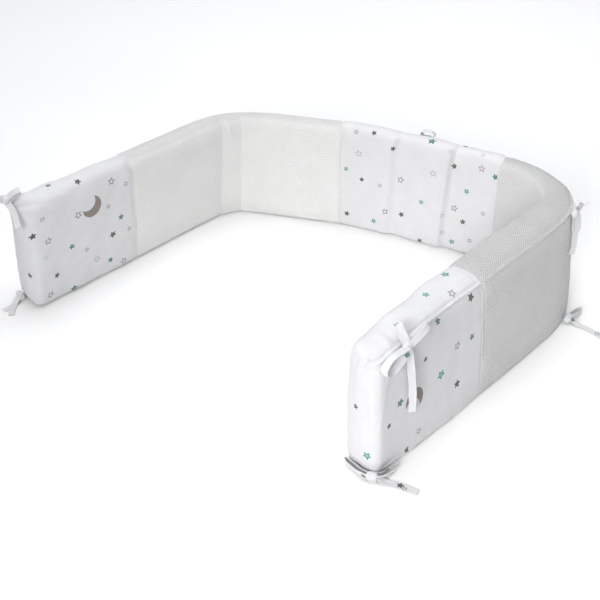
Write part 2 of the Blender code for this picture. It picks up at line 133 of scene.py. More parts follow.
folds = [    # run, slant, pull before, pull after, reach of the change between them, width, bluntness
    (0.5385, 0.009, 0.0050, 0.0050, 0.0020, 0.015, 0.0020),
    (0.5995, 0.011, 0.0050, 0.0050, 0.0020, 0.015, 0.0025),
    (0.980, 0.010, -0.0070, 0.0055, 0.0150, 0.018, 0.0080),
    (1.112, 0.013, -0.0075, 0.0045, 0.0080, 0.014, 0.0080),
    (1.270, 0.000, 0.0050, 0.0040, 0.0060, 0.012, 0.0060),
]
# half cross-section, shares of half the thickness and of the height
wrapRows = [
    (-0.95, 0.034), (-0.78, 0.000), (0.62, 0.000), (0.86, 0.020), (0.97, 0.062), (1.01, 0.160),
    (1.04, 0.340), (1.05, 0.520), (1.04, 0.700), (1.01, 0.830), (0.93, 0.915), (0.76, 0.965),
    (0.48, 0.992), (0.10, 1.000), (-0.35, 0.993), (-0.68, 0.976), (-0.88, 0.950),
]
outerRows = [
    (-0.88, 0.950), (-0.99, 0.890), (-1.02, 0.720), (-1.04, 0.500), (-1.04, 0.280),
    (-1.02, 0.120), (-0.95, 0.034),
]


def slopesOf(table, marks):
    slopes = np.empty_like(table)
    slopes[1:-1] = (table[2:] - table[:-2]) / (marks[2:] - marks[:-2])[:, None]
    slopes[0] = (table[1] - table[0]) / (marks[1] - marks[0])
    slopes[-1] = (table[-1] - table[-2]) / (marks[-1] - marks[-2])
    return slopes


def smoothLine(table, slopes, marks, place):
    # a smooth line through the table's rows, which lie at the marks
    row = np.clip(np.searchsorted(marks, place, side="right") - 1, 0, len(marks) - 2)
    span = (marks[row + 1] - marks[row])[..., None]
    t = np.clip((place - marks[row])[..., None] / span, 0.0, 1.0)
    return (
        table[row] * (1 + 2 * t) * (1 - t) ** 2
        + slopes[row] * span * t * (1 - t) ** 2
        + table[row + 1] * t * t * (3 - 2 * t)
        + slopes[row + 1] * span * t * t * (t - 1)
    )


planSlopes = slopesOf(planTable, stationRuns)


def planAt(run):
    run = np.asarray(run, float)
    value = smoothLine(planTable, planSlopes, stationRuns, run)
    value += planSlopes[0] * np.minimum(run, 0.0)[..., None]
    return value + planSlopes[-1] * np.maximum(run - padLength, 0.0)[..., None]


def headingAt(run):
    run = np.asarray(run, float)
    reach = pad["headingReach"]
    step = planAt(run + reach)[..., :2] - planAt(run - reach)[..., :2]
    return step / np.linalg.norm(step, axis=-1, keepdims=True)


def smooth(value):
    value = np.clip(value, 0.0, 1.0)
    return value * value * (3 - 2 * value)


def ramp(value, low, high):
    return smooth((value - low) / (high - low))


def endRounding(run, reach):
    # a quarter circle at either end of the pad: 0 until reach from the end, 1 at the end
    left = np.clip(1 - np.minimum(run, padLength - run) / reach, 0.0, 1.0)
    return 1 - np.sqrt(1 - left ** 2)


def padPoints(run, across, up):
    run, across, up = np.broadcast_arrays(run, across, up)
    here = planAt(run)
    half, tall, lean = here[..., 2] / 2, here[..., 3] * pad["height"], here[..., 4]
    pull = np.zeros(run.shape)
    at = run.copy()
    for foldRun, slant, before, after, edge, width, blunt in folds:
        away = run - foldRun
        depth = before + (after - before) * smooth(0.5 + away / edge / 2)
        pull += depth * np.exp((blunt - np.hypot(away, blunt)) / width)
        at = at + slant * (up - 0.5) * smooth(1 - np.abs(at - foldRun) / pad["foldLead"])
    pull = pull * ramp(across, *pad["pullSide"])
    dip = np.zeros(run.shape)
    for row in seamRows[1:]:
        dip += pad["seamDip"] * smooth(1 - np.abs(run - stationRuns[row]) / pad["seamReach"])
    side = across * half
    side = side - np.copysign(dip, side) - pull * ramp(across, *pad["pullWall"])
    rise = up * tall - (dip + pad["topPull"] * np.maximum(pull, 0.0)) * ramp(up, *pad["pullTop"])
    innerReach = pad["innerRound"][0] + pad["innerRound"][1] * up ** 2
    inner = endRounding(run, innerReach) * innerReach / (2 * half)
    side = -half + (side + half) * (1 - inner)
    outerReach = pad["outerRound"][0] + pad["outerRound"][1] * up
    side = side + outerReach * endRounding(run, outerReach) * ramp(-across, *pad["roundWall"])
    topDrop = np.where(run < padLength / 2, *pad["endTopDrop"])
    rise = rise + endRounding(run, pad["endRound"]) * (pad["endFootLift"] * (1 - up) - topDrop * up)
    side = side + lean * (up - 0.5)
    heading = headingAt(at)
    middle = planAt(at)
    return np.stack([
        middle[..., 0] + side * heading[..., 1],
        middle[..., 1] - side * heading[..., 0],
        rise,
    ], axis=-1)


def spread(start, end, step, marks):
    # places from start to end, at seamStep near a mark and at step elsewhere
    places = [start]
    while places[-1] < end:
        near = any(abs(places[-1] + pad["seamStep"] - mark) < pad["fineReach"] for mark in marks)
        places.append(places[-1] + (pad["seamStep"] if near else step))
    places = np.array(places)
    return start + (places - start) * (end - start) / (places[-1] - start)


def profileCurve(rows):
    # a smooth line through the rows, closer spaced at its sewn ends
    rows = np.array(rows)
    size = np.array([pad["halfThick"], pad["height"]])
    lengths = np.linalg.norm(np.diff(rows * size, axis=0), axis=1)
    marks = np.concatenate([[0.0], np.cumsum(lengths)])
    places = spread(0.0, marks[-1], pad["ringStep"], [0.0, marks[-1]])
    curve = smoothLine(rows, slopesOf(rows, marks), marks, places)
    curve[:, 1] = np.maximum(curve[:, 1], 0.0)
    return curve


# soft forms: a few long waves with seeded directions, of about one length
waveSpread = (0.6, 1.5)


def waves(points, length, seed, count=7):
    maker = np.random.default_rng(seed)
    total = np.zeros(points.shape[:-1])
    for _ in range(count):
        direction = maker.normal(size=points.shape[-1])
        direction *= 2 * math.pi / length / np.linalg.norm(direction) * maker.uniform(*waveSpread)
        total += np.sin(points @ direction + maker.uniform(0, 2 * math.pi))
    return total / math.sqrt(count)


relief = {
    "seed": 11,
    "cottonLumps": 0.0012,
    "meshLumps": 0.0007,
    "lumpLength": 0.11,
    "fineShare": (0.35, 0.40),      # height and length of the finer lumps
    "fineSeed": 50,
    "pucker": 0.00050,              # ripple beside a seam
    "puckerLength": 0.016,
    "puckerReach": 0.011,
    "puckerSeed": 9,
    "grooves": (0.0009, 0.0019),    # the seams across the pad, and those along its edges
    "grooveWidth": 0.0019,
    "lips": (0.0004, 0.0009),       # padding that rises beside the seams
    "lipPlace": 0.0052,
    "lipWidth": 0.0028,
    "creaseLip": (0.5, 1.7),        # height and distance, as shares of a crease's depth and width
    "creasePast": 0.1,              # how far a crease fades out past its ends
    "floorFade": (0.001, 0.014),    # the cloth lies flat where it touches the floor
}
# creases laid on the flat cloth, in mm: from along and up, to along and up, depth, width
creases = {
    "wrap": [
        (2, 74, 46, 42, 6.0, 7.0), (2, 40, 42, 12, 5.6, 6.5),
        (4, 14, 46, -10, 4.2, 6.0), (10, -10, 64, -28, 2.2, 7.0),
        (30, 64, 84, 36, 1.6, 6.0), (2, -10, -2, -110, 0.8, 8.0),
        (60, -30, 95, -120, 0.5, 14.0), (286, 52, 270, -12, 0.9, 8.0),
        (234, 30, 252, -16, 0.7, 7.0), (553, 22, 566, -34, 2.6, 5.0),
        (542, 20, 534, -236, 0.6, 2.4), (604, 30, 595, -240, 0.5, 2.4),
        (1291, -6, 1284, -96, 1.6, 8.0), (1300, 30, 1420, 58, 0.9, 9.0),
        (1404, 56, 1588, 20, 1.5, 8.0), (1350, 66, 1500, 60, 0.7, 9.0),
        (2040, 26, 2052, 74, 1.2, 7.0), (2018, 40, 2034, 82, 0.8, 5.0),
    ],
    "outer": [
        (2040, 6, 2074, 46, 1.4, 5.0), (2024, 2, 2020, 44, 0.9, 5.0),
        (2010, 4, 1990, 30, 0.7, 5.0), (2064, 6, 2090, 150, 1.3, 2.4),
        (1480, 4, 1500, 46, 1.0, 6.0), (1450, 4, 1440, 40, 0.9, 6.0),
    ],
}


def creaseDepth(part, along, upward):
    # a trough with a soft lip on one side, fading at both ends
    depth = np.zeros(along.shape)
    lip, lipPlace = relief["creaseLip"]
    past = relief["creasePast"]
    rows = [(cloth, np.array(row) / 1000) for cloth, mine in creases.items() for row in mine]
    for cloth, (*ends, deep, wide) in rows:
        start, end = np.array(ends[:2]), np.array(ends[2:])
        line = end - start
        offset = np.stack([along, upward], axis=-1) - start
        share = np.clip((offset @ line) / (line @ line), -past, 1 + past)
        away = np.linalg.norm(offset - share[..., None] * line, axis=-1) / wide
        side = np.sign(offset[..., 0] * line[1] - offset[..., 1] * line[0])
        form = lip * np.exp(-((away - lipPlace) ** 2)) * (side > 0) - np.exp(-(away ** 2))
        fade = np.sin(math.pi * np.clip(past + (1 - 2 * past) * share, 0.0, 1.0))
        depth += np.where(part == cloth, deep * fade * form, 0.0)
    return depth


def reliefOf(points, run, seamGap, isPrint, seed):
    # how far the cloth stands off its plain form: soft lumps, puckers beside seams, the seams
    lumps = relief["cottonLumps" if isPrint else "meshLumps"]
    fineHeight, fineLength = relief["fineShare"]
    height = lumps * waves(points, relief["lumpLength"], seed)
    fine = waves(points, relief["lumpLength"] * fineLength, seed + relief["fineSeed"])
    height += fineHeight * lumps * fine
    toSeam = np.min([np.abs(run - stationRuns[row]) for row in seamRows[1:]], axis=0)
    toSeam = np.minimum(toSeam, np.minimum(run, padLength - run))
    ripple = relief["pucker"] * waves(points, relief["puckerLength"], seed + relief["puckerSeed"])
    for gap, groove, lip in zip((toSeam, seamGap), relief["grooves"], relief["lips"]):
        height += ripple * np.exp(-gap / relief["puckerReach"])
        height -= groove * np.exp(-((gap / relief["grooveWidth"]) ** 2))
        height += lip * np.exp(-(((gap - relief["lipPlace"]) / relief["lipWidth"]) ** 2))
    return height


wrapCurve = profileCurve(wrapRows)
outerCurve = profileCurve(outerRows)
ringCurve = np.concatenate([wrapCurve, outerCurve[1:-1]])
wrapCount, ringCount = len(wrapCurve), len(ringCurve)
ringParts = ["wrap"] * (wrapCount - 1) + ["outer"] * (ringCount - wrapCount + 1)


def gridNormals(points):
    along = np.gradient(points, axis=0)
    around = np.roll(points, -1, axis=1) - np.roll(points, 1, axis=1)
    normal = np.cross(around, along)
    return normal / np.maximum(np.linalg.norm(normal, axis=-1, keepdims=True), 1e-12)


def arcLengths(points):
    steps = np.linalg.norm(np.diff(points, axis=1), axis=2)
    return np.concatenate([np.zeros((len(points), 1)), np.cumsum(steps, axis=1)], axis=1)


def sectionRuns(row, after):
    start = stationRuns[row] + (pad["gap"] / 2 if row > 0 else 0.0)
    end = stationRuns[after] - (pad["gap"] / 2 if after < len(stations) - 1 else 0.0)
    marks = [fold[0] for fold in folds] + [stationRuns[seam] for seam in seamRows[1:]]
    turns = np.linspace(math.pi / 2, 0.0, pad["endSteps"])
    rounding = pad["endRound"] * (1 - np.sin(turns))
    if row == 0:
        return np.concatenate([rounding, spread(rounding[-1], end, pad["runStep"], marks)[1:]])
    if after == len(stations) - 1:
        body = spread(start, end - rounding[-1], pad["runStep"], marks)
        return np.concatenate([body[:-1], (end - rounding)[::-1]])
    return spread(start, end, pad["runStep"], marks)


sewing = {
    "inset": 2,             # mesh steps between a seam and its stitches
    "endInset": 4,          # and between a seam's end and the first stitch
    "capRing": 0.94,        # which ring of an end cloth is stitched
    "floorClear": 0.006,
    "pitch": 0.0036,
    "length": 0.0026,
    "thickness": 0.00060,
    "segments": 6,
    "color": (0.800, 0.800, 0.812, 1.0),
    "shade": (0.640, 0.640, 0.655, 1.0),
    "fleck": (900.0, 2.0),
    "fleckRange": (0.3, 0.7),
    "roughness": 0.7,
    "depth": 0.0001,
    "sheen": 0.2,
}


class Cloth:
    # one closed piece of cloth work: points, faces, and each corner's place on the flat cloth
    def __init__(self):
        self.points, self.faces, self.places, self.parts = [], [], [], []
        self.stitchLines = []

    def addPoints(self, points):
        first = len(self.points)
        self.points.extend(points.reshape(-1, 3).tolist())
        return first

    def addFace(self, corners, places, part):
        self.faces.append(corners)
        self.places.append(places)
        self.parts.append(part)

    def addBand(self, low, high, lowPlaces, highPlaces, parts):
        # quads between two rings, each with its places at the start and at the end of its edges
        for j, part in enumerate(parts):
            k = (j + 1) % len(parts)
            corners = [low[j], low[k], high[k], high[j]]
            places = [lowPlaces[0][j], lowPlaces[1][j], highPlaces[1][j], highPlaces[0][j]]
            self.addFace(corners, places, part)


def edgePlaces(places):
    # a closed ring's places at the start and at the end of its edges
    return places, places[1:] + places[:1]


def buildSection(name, row, after, seed):
    runs = sectionRuns(row, after)
    run, across = np.meshgrid(runs, ringCurve[:, 0], indexing="ij")
    up = np.broadcast_to(ringCurve[:, 1], run.shape)
    points = padPoints(run, across, up)
    seamPoints = [points[:, 0], points[:, wrapCount - 1]]    # the foot and the top seam
    seamGap = np.min([np.linalg.norm(points - seam[:, None], axis=2) for seam in seamPoints], axis=0)
    wrapLength = arcLengths(points[:, :wrapCount])
    innerSide = wrapCurve[:, 0] > 0
    anchor = int(np.argmin(np.where(innerSide, np.abs(wrapCurve[:, 1] - pad["topEdge"]), np.inf)))
    wrapPlace = wrapLength - wrapLength[:, anchor:anchor + 1]
    outerPlace = arcLengths(np.concatenate([points[:, wrapCount - 1:], points[:, :1]], axis=1))
    place = np.concatenate([wrapPlace, outerPlace[:, 1:-1]], axis=1)
    part = np.where(np.arange(ringCount) < wrapCount, "wrap", "outer")
    height = reliefOf(points, run, seamGap, name.startswith("print"), seed)
    height = (height + creaseDepth(part, run, place)) * ramp(points[..., 2], *relief["floorFade"])
    points = points + gridNormals(points) * height[..., None]
    points[..., 2] = np.maximum(points[..., 2], 0.0)
    cloth = Cloth()
    cloth.addPoints(points)
    rings = np.arange(points.shape[0] * ringCount).reshape(-1, ringCount).tolist()
    starts = np.concatenate([wrapPlace[:, :-1], outerPlace[:, :-1]], axis=1)
    ends = np.concatenate([wrapPlace[:, 1:], outerPlace[:, 1:]], axis=1)
    places = [[[(at, spot) for spot in line] for line in pair] for at, *pair in zip(runs, starts, ends)]
    for i in range(len(runs) - 1):
        cloth.addBand(rings[i], rings[i + 1], places[i], places[i + 1], ringParts)
    inset = sewing["inset"]
    for edge, free, step in ((0, row == 0, inset), (-1, after == len(stations) - 1, -inset)):
        if free:
            addCap(cloth, points[edge], runs[edge], rings[edge])
        else:
            cloth.addFace(rings[edge], [(runs[edge], 0.0)] * ringCount, "hidden")
            keepStitches(cloth, points[edge + step])
    for column in (wrapCount - 1 - inset, wrapCount - 1 + inset):
        cloth.stitchLines.append(points[sewing["endInset"]:-sewing["endInset"], column])
    return cloth


def keepStitches(cloth, ring):
    # a seam that runs round the pad is stitched wherever it is off the floor
    cloth.stitchLines.append(ring[ring[:, 2] > sewing["floorClear"]])


def addCap(cloth, ringPoints, run, ring):
    # the end cloth: the ring drawn in to an upright middle line, with a slight crown
    outward = headingAt(run) * (-1 if run < padLength / 2 else 1)
    outward = np.array([outward[0], outward[1], 0.0])
    sideways = np.array([outward[1], -outward[0], 0.0])
    low, high = ringPoints[:, 2].min(), ringPoints[:, 2].max()
    centre = (ringPoints.max(axis=0) + ringPoints.min(axis=0)) / 2
    target = np.tile(centre, (ringCount, 1))
    target[:, 2] = np.clip(ringPoints[:, 2], low + endCloth["inset"], high - endCloth["inset"])
    places = edgePlaces([((spot - centre) @ sideways, spot[2]) for spot in ringPoints])
    for shrink in endCloth["shrink"]:
        points = target + (ringPoints - target) * shrink
        points = points + outward * (endCloth["crown"] * (1 - shrink ** 3))
        lumps = endCloth["lumps"] * waves(points, endCloth["lumpLength"], endCloth["seed"])
        points = points + outward * (lumps * (1 - shrink ** 6))[:, None]
        first = cloth.addPoints(points)
        inner = list(range(first, first + ringCount))
        innerPlaces = edgePlaces([((spot - centre) @ sideways, spot[2]) for spot in points])
        cloth.addBand(ring, inner, places, innerPlaces, ["cap"] * ringCount)
        ring, places = inner, innerPlaces
        if shrink == sewing["capRing"]:
            keepStitches(cloth, points)
    cloth.addFace(ring, places[0], "cap")


# printed motifs: fill (none for a bare outline) and line
motifInks = {
    "slate": ((0.120, 0.105, 0.110), (0.055, 0.045, 0.050)),
    "brown": ((0.150, 0.120, 0.110), (0.070, 0.050, 0.045)),
    "teal": ((0.130, 0.290, 0.265), (0.020, 0.115, 0.095)),
    "mint": ((0.280, 0.520, 0.440), (0.035, 0.230, 0.170)),
    "grey": (None, (0.270, 0.270, 0.285)),
    "faint": (None, (0.480, 0.480, 0.500)),
    "aqua": (None, (0.400, 0.600, 0.590)),
    "rose": (None, (0.400, 0.280, 0.330)),
    "moon": ((0.290, 0.240, 0.210), (0.085, 0.065, 0.060)),
}
motifRadii = {"xs": 0.0024, "s": 0.0066, "m": 0.0078, "l": 0.0097, "xl": 0.0114, "moon": 0.0240}
moonTurns = {"print_left": 0, "print_right": -56}    # degrees
starTurn, starPeriod = 29, 72    # each star is turned on from the one before
motifReach = {"margin": 1.3, "face": 0.004, "moonFirst": 0.15, "none": 9.0}
# where they lie, charted in cm: along the pad; up from the top's inner edge, or on the outer
# cloth down from its seam, or on an end cloth across from its middle and up from the floor
printChart = {
    ("print_left", "wrap"): [
        (8, 4, "m", "teal"), (13.5, 1.5, "m", "slate"), (21, -1.5, "l", "grey"),
        (24.5, -3.5, "s", "grey"), (15.25, -5, "moon", "moon"), (19.5, -7, "s", "grey"),
        (11.8, -5.6, "l", "grey"), (22.5, -11, "m", "teal"), (24.5, -15, "s", "grey"),
        (3.5, -2.5, "s", "grey"), (1, -5, "m", "slate"), (20, -14.5, "l", "brown"),
        (4, -8, "l", "grey"), (9.5, -12.5, "m", "teal"), (13, -15, "s", "grey"),
        (3, -11.5, "s", "aqua"), (15.5, -19, "l", "faint"), (19, -21, "m", "teal"),
        (22.5, -23, "l", "grey"), (5, -17.5, "m", "brown"), (9, -23.5, "l", "teal"),
        (3, -21.5, "l", "grey"),
    ],
    ("print_left", "cap"): [(-2.8, 8.5, "m", "slate"), (1.5, 20.5, "s", "slate")],
    ("print_back", "wrap"): [
        (88.5, 0.5, "s", "grey"), (92.5, 1, "s", "slate"), (97.5, -1.5, "s", "slate"),
        (89.5, -4.5, "l", "faint"), (86.5, -9, "s", "mint"), (90.5, -11, "s", "slate"),
        (95, -11.5, "s", "grey"), (87, -21, "m", "slate"), (97, -18, "l", "grey"),
        (94, -21.5, "m", "mint"), (106, 2, "l", "teal"), (110.5, 1, "s", "faint"),
        (113, 3.5, "m", "teal"), (112, -2.5, "m", "brown"), (118.5, 1.5, "s", "faint"),
        (119, -1.5, "l", "rose"), (122.5, -2.5, "m", "teal"), (100, -9, "l", "grey"),
        (107.5, -5.5, "l", "faint"), (116, -8, "m", "mint"), (105.5, -13.5, "s", "mint"),
        (101, -18, "m", "slate"), (113.5, -13, "l", "grey"), (111, -15.5, "s", "faint"),
        (120.5, -12.5, "s", "grey"), (116, -16, "m", "brown"), (106, -24, "m", "slate"),
        (111.5, -20, "m", "faint"), (114, -22, "m", "mint"), (118, -20.5, "s", "grey"),
    ],
    ("print_right", "wrap"): [
        (182.5, 2.5, "l", "mint"), (190, 3.5, "m", "mint"), (186, 6.5, "l", "grey"),
        (194, 1, "m", "faint"), (185.5, 8, "xs", "rose"),
    ],
    ("print_right", "outer"): [
        (182.5, 1.2, "l", "brown"), (192.5, 1, "m", "teal"), (182.5, 9.5, "m", "teal"),
        (187, 9, "l", "grey"), (196.5, 6.5, "s", "slate"), (192, 12.5, "xl", "mint"),
        (187, 17.5, "l", "slate"), (199.5, 13.5, "moon", "moon"), (203.5, 11.5, "l", "teal"),
        (206.5, 14.5, "s", "slate"), (198.5, 21, "m", "grey"), (201.5, 23.5, "m", "slate"),
        (208, 1.5, "s", "slate"),
    ],
    ("print_right", "cap"): [
        (1, 14, "s", "slate"), (-2, 4.5, "l", "mint"), (-3, 6, "xs", "teal"), (2.3, 21, "s", "aqua"),
    ],
}
# scraps of the print on the tapes: cm along the strap from the knot, cm across it
printChart |= {
    ("bow_right_end_top", "strap0"): [(4.6, 0.4, "s", "grey")],
    ("bow_right_end_top", "strap2"): [(1.2, 0.3, "s", "teal"), (6.6, -0.5, "s", "slate")],
    ("bow_right_end_foot", "strap0"): [(1.4, -0.2, "s", "slate")],
    ("bow_right_end_foot", "strap1"): [(3.4, 0.3, "s", "slate")],
    ("bow_right_end_foot", "strap2"): [(5.3, 0.1, "m", "slate"), (6.2, -0.3, "s", "grey")],
    ("bow_right_corner_foot", "strap1"): [(0.9, 0.0, "m", "teal"), (7.0, 0.2, "m", "grey")],
    ("bow_left_end_top", "strap2"): [(0.8, 0.1, "s", "slate")],
    ("bow_back_top", "strap0"): [(2.6, 0.2, "s", "faint")],
}
# the cloth that the photo doesn't show carries the same print, evenly strewn
strewn = {    # from (along, up) to (along, up), in cm
    ("print_left", "outer"): ((1, 1), (26, 24)),
    ("print_left", "wrap"): ((1, -32), (26, -27)),
    ("print_back", "outer"): ((87, 1), (123, 24)),
    ("print_back", "wrap"): ((87, -30), (123, -27)),
    ("print_right", "wrap"): ((181, -32), (208, -1.5)),
}
strewing = {
    "apart": (4.2, 5.4),    # cm along and up
    "jitter": 0.22,
    "stagger": (0.35, 0.65),
    "sizes": ("s", "m", "l"),
    "inks": ("slate", "grey", "teal", "grey", "faint", "slate", "aqua", "grey", "brown", "mint"),
    "seed": 31,
}


def strewMotifs(low, high, maker):
    made = []
    columns = max(round((high[0] - low[0]) / strewing["apart"][0]), 1)
    rows = max(round((high[1] - low[1]) / strewing["apart"][1]), 1)
    for column in range(columns):
        for row in range(rows):
            jitter = maker.uniform(-strewing["jitter"], strewing["jitter"], size=2)
            stagger = strewing["stagger"][column % 2]
            along = low[0] + (column + 0.5 + jitter[0]) * (high[0] - low[0]) / columns
            upward = low[1] + (row + stagger + jitter[1]) * (high[1] - low[1]) / rows
            size, ink = maker.choice(strewing["sizes"]), maker.choice(strewing["inks"])
            made.append((along, upward, size, ink))
    return made


strewer = np.random.default_rng(strewing["seed"])
for place, (low, high) in strewn.items():
    printChart.setdefault(place, []).extend(strewMotifs(low, high, strewer))


def layMotifs(section, cloth):
    # each face takes the nearest motif within reach, as that motif's own flat coordinates
    corners = np.array([len(face) for face in cloth.faces])
    owner = np.repeat(np.arange(len(corners)), corners)
    places = np.array([place for face in cloth.places for place in face])
    parts = np.array(cloth.parts)
    centres = np.stack([np.bincount(owner, places[:, k]) / corners for k in (0, 1)], axis=1)
    local = np.full((len(owner), 2), motifReach["none"])
    fill = np.tile([1.0, 1.0, 1.0, 0.0], (len(owner), 1))
    line = fill.copy()
    best = np.full(len(corners), motifReach["margin"])
    chosen = np.full(len(corners), -1)
    mine = [(part, order, motif) for (name, part), motifs in printChart.items() if name == section
            for order, motif in enumerate(motifs)]
    for index, (part, _, (along, upward, size, _)) in enumerate(mine):
        away = np.hypot(centres[:, 0] - along / 100, centres[:, 1] - upward / 100)
        away = (away - motifReach["face"]) / motifRadii[size]
        away += np.where(parts == part, 0.0, motifReach["none"])
        away -= motifReach["moonFirst"] if size == "moon" else 0.0
        closer = away < best
        best[closer] = away[closer]
        chosen[closer] = index
    for index, (_, order, (along, upward, size, ink)) in enumerate(mine):
        mask = (chosen == index)[owner]
        offset = (places[mask] - np.array([along, upward]) / 100) / motifRadii[size]
        turn = math.radians(moonTurns[section] if size == "moon" else starTurn * order % starPeriod)
        local[mask, 0] = offset[:, 0] * math.cos(turn) + offset[:, 1] * math.sin(turn)
        local[mask, 1] = offset[:, 1] * math.cos(turn) - offset[:, 0] * math.sin(turn)
        inside, outline = motifInks[ink]
        fill[mask] = (*(inside or outline), 1.0 if inside else 0.0)
        line[mask] = (*outline, 1.0 if size == "moon" else 0.0)
    return places, local, fill, line


def makePiece(name, title, cloth, finish):
    mesh = bpy.data.meshes.new(title)
    mesh.from_pydata(cloth.points, [], cloth.faces)
    places, local, fill, line = layMotifs(name, cloth)
    mesh.uv_layers.new(name="clothPlace").data.foreach_set("uv", places.astype(np.float32).ravel())
    mesh.uv_layers.new(name="motifPlace").data.foreach_set("uv", local.astype(np.float32).ravel())
    for label, values in (("motifFill", fill), ("motifLine", line)):
        layer = mesh.color_attributes.new(label, "FLOAT_COLOR", "CORNER")
        layer.data.foreach_set("color", values.astype(np.float32).ravel())
    mesh.materials.append(finish)
    mesh.shade_smooth()
    work = bmesh.new()
    work.from_mesh(mesh)
    bmesh.ops.recalc_face_normals(work, faces=work.faces)
    if work.calc_volume(signed=True) < 0:
        bmesh.ops.reverse_faces(work, faces=work.faces)
    work.to_mesh(mesh)
    work.free()
    return addObject(title, mesh)


class Term:
    # a number that comes out of a node, so that shader sums read as sums
    def __init__(self, shader, socket):
        self.shader = shader
        self.socket = socket

    def math(self, operation, *others):
        sockets = dict(enumerate((self, *others)))
        return self.shader.term("ShaderNodeMath", {"operation": operation}, sockets)

    def __add__(self, other):
        return self.math("ADD", other)

    def __sub__(self, other):
        return self.math("SUBTRACT", other)

    def __rsub__(self, other):
        return self.math("MULTIPLY", -1.0) + other

    def __mul__(self, other):
        return self.math("MULTIPLY", other)

    def __truediv__(self, other):
        return self.math("DIVIDE", other)

    def __abs__(self):
        return self.math("ABSOLUTE")

    __rmul__ = __mul__

    def between(self, low, high):
        # eases from 0 at low to 1 at high
        settings = {"interpolation_type": "SMOOTHSTEP"}
        sockets = {"Value": self, "From Min": low, "From Max": high}
        return self.shader.term("ShaderNodeMapRange", settings, sockets)


white = (1.0, 1.0, 1.0, 1.0)
fibre = {"sheenRoughness": 0.55, "specular": 0.22}


class Shader:
    def __init__(self, name):
        self.material = bpy.data.materials.new(name)
        self.material.use_nodes = True
        self.tree = self.material.node_tree
        self.tree.nodes.clear()

    def node(self, kind, settings=None, sockets=None):
        made = self.tree.nodes.new(kind)
        for key, value in (settings or {}).items():
            setattr(made, key, value)
        for key, value in (sockets or {}).items():
            if isinstance(value, Term):
                value = value.socket
            if isinstance(value, bpy.types.NodeSocket):
                self.tree.links.new(value, made.inputs[key])
            else:
                made.inputs[key].default_value = value
        return made

    def term(self, kind, settings=None, sockets=None, output=0):
        return Term(self, self.node(kind, settings, sockets).outputs[output])

    def place(self, name):    # the two numbers of a UV map
        uv = self.node("ShaderNodeUVMap", {"uv_map": name})
        split = self.node("ShaderNodeSeparateXYZ", sockets={0: uv.outputs[0]})
        return Term(self, split.outputs[0]), Term(self, split.outputs[1])

    def noise(self, scale, detail, roughness=0.5):
        coordinates = self.node("ShaderNodeTexCoord").outputs["Object"]
        sockets = {"Vector": coordinates, "Scale": scale, "Detail": detail, "Roughness": roughness}
        return self.term("ShaderNodeTexNoise", sockets=sockets)

    def mix(self, share, a, b):
        settings = {"data_type": "RGBA", "clamp_factor": True}
        return self.node("ShaderNodeMix", settings, {0: share, 6: a, 7: b}).outputs[2]

    def multiply(self, a, b):
        settings = {"data_type": "RGBA", "blend_type": "MULTIPLY"}
        return self.node("ShaderNodeMix", settings, {0: 1.0, 6: a, 7: b}).outputs[2]

    def finish(self, color, rough, height, depth, sheen):
        bump = self.node("ShaderNodeBump", sockets={"Height": height, "Distance": depth, "Strength": 1.0})
        cloth = self.node("ShaderNodeBsdfPrincipled", sockets={
            "Base Color": color, "Roughness": rough, "Normal": bump.outputs[0],
            "Sheen Weight": sheen, "Sheen Roughness": fibre["sheenRoughness"], "Sheen Tint": white,
            "Specular IOR Level": fibre["specular"],
        })
        self.node("ShaderNodeOutputMaterial", sockets={"Surface": cloth.outputs[0]})
        return self.material


cotton = {
    "light": (0.735, 0.735, 0.750, 1.0),
    "deep": (0.710, 0.710, 0.725, 1.0),
    "shading": (38.0, 3.0, 0.6),        # cells a metre, detail, roughness
    "shadingRange": (0.30, 0.72),
    "thread": 0.00075,      # pitch of the weave
    "slub": (420.0, 2.0, 0.7),
    "height": (0.7, 0.6),   # weave and slub, shares of the depth
    "depth": 0.00018,
    "roughness": 0.84,
    "weaveRoughness": 0.08,
    "sheen": 0.12,
    "starNotch": 0.50,      # inner radius of a star
    "lineWidth": 0.20,
    "moonLine": 0.62,       # how much finer the moon's line is
    "motifEdge": 0.05,
    "moonBite": (-0.42, 0.58, 0.86),    # centre and radius of the circle that hollows the moon
}


def crossing(u, v, pitch):
    # threads that cross, from -1 to 1
    turn = 2 * math.pi / pitch
    return (u * turn).math("SINE") * (v * turn).math("SINE")


def starDistance(x, y, notch):
    # distance outside a five-pointed star of radius 1, negative inside
    fifth = 2 * math.pi / 5
    angle = x.math("ARCTAN2", y) + (fifth / 2 + 2 * math.pi)
    sector = abs((angle / fifth).math("FRACT") * fifth - fifth / 2)
    radius = (x * x + y * y).math("SQRT")
    px, py = radius * sector.math("COSINE"), radius * sector.math("SINE")
    bx, by = notch * math.cos(fifth / 2), notch * math.sin(fifth / 2)
    long = math.hypot(1 - bx, by)
    return (px - 1.0) * (by / long) + py * ((1 - bx) / long)


def moonDistance(x, y, bite):
    whole = (x * x + y * y).math("SQRT") - 1.0
    dx, dy = x - bite[0], y - bite[1]
    return whole.math("MAXIMUM", bite[2] - (dx * dx + dy * dy).math("SQRT"))


